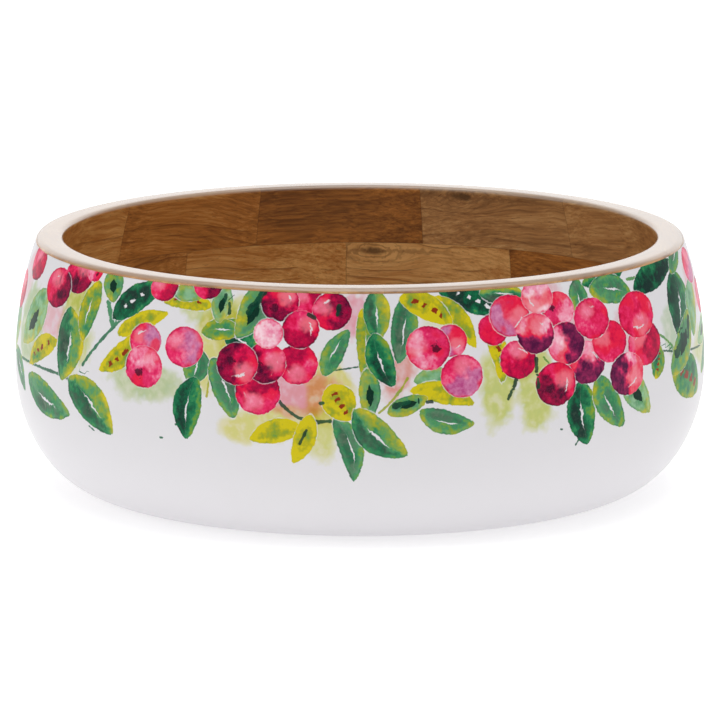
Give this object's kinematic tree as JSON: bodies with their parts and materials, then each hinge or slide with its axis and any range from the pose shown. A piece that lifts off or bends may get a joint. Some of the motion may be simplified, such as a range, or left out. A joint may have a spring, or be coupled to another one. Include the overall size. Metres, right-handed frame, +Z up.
{
  "type": "serving bowl",
  "caption": "Round wooden serving bowl, turned from glued-up hardwood blocks, with a white enamel outside that carries a printed berry and leaf pattern.",
  "frame": {"origin": "centre of the foot, on the surface that the bowl stands on", "axes": "+Z up through the middle of the bowl, -Y towards the front of the pattern, +X to the right of it"},
  "size_m": [0.3, 0.3, 0.11],
  "materials": {
    "mango_wood": "satin lacquer over brown hardwood with dark pores",
    "printed_enamel": "smooth white enamel with a printed berry and leaf pattern under a clear satin coat"
  },
  "bodies": {
    "root": {"base_plank_1a": "mango_wood", "base_plank_1b": "mango_wood", "base_plank_2a": "mango_wood", "base_plank_2b": "mango_wood", "base_plank_2c": "mango_wood", "base_plank_3a": "mango_wood", "base_plank_3b": "mango_wood", "base_plank_4a": "mango_wood", "base_plank_4b": "mango_wood", "base_plank_4c": "mango_wood", "base_plank_5a": "mango_wood", "base_plank_5b": "mango_wood", "base_plank_5c": "mango_wood", "base_plank_6a": "mango_wood", "base_plank_6b": "mango_wood", "enamel_coat": "printed_enamel", "lower_block_01": "mango_wood", "lower_block_02": "mango_wood", "lower_block_03": "mango_wood", "lower_block_04": "mango_wood", "lower_block_05": "mango_wood", "lower_block_06": "mango_wood", "lower_block_07": "mango_wood", "lower_block_08": "mango_wood", "lower_block_09": "mango_wood", "lower_block_10": "mango_wood", "lower_block_11": "mango_wood", "middle_block_01": "mango_wood", "middle_block_02": "mango_wood", "middle_block_03": "mango_wood", "middle_block_04": "mango_wood", "middle_block_05": "mango_wood", "middle_block_06": "mango_wood", "middle_block_07": "mango_wood", "middle_block_08": "mango_wood", "middle_block_09": "mango_wood", "middle_block_10": "mango_wood", "middle_block_11": "mango_wood", "rim_block_01": "mango_wood", "rim_block_02": "mango_wood", "rim_block_03": "mango_wood", "rim_block_04": "mango_wood", "rim_block_05": "mango_wood", "rim_block_06": "mango_wood", "rim_block_07": "mango_wood", "rim_block_08": "mango_wood", "rim_block_09": "mango_wood", "rim_block_10": "mango_wood", "rim_block_11": "mango_wood"}
  },
  "joints": []
}
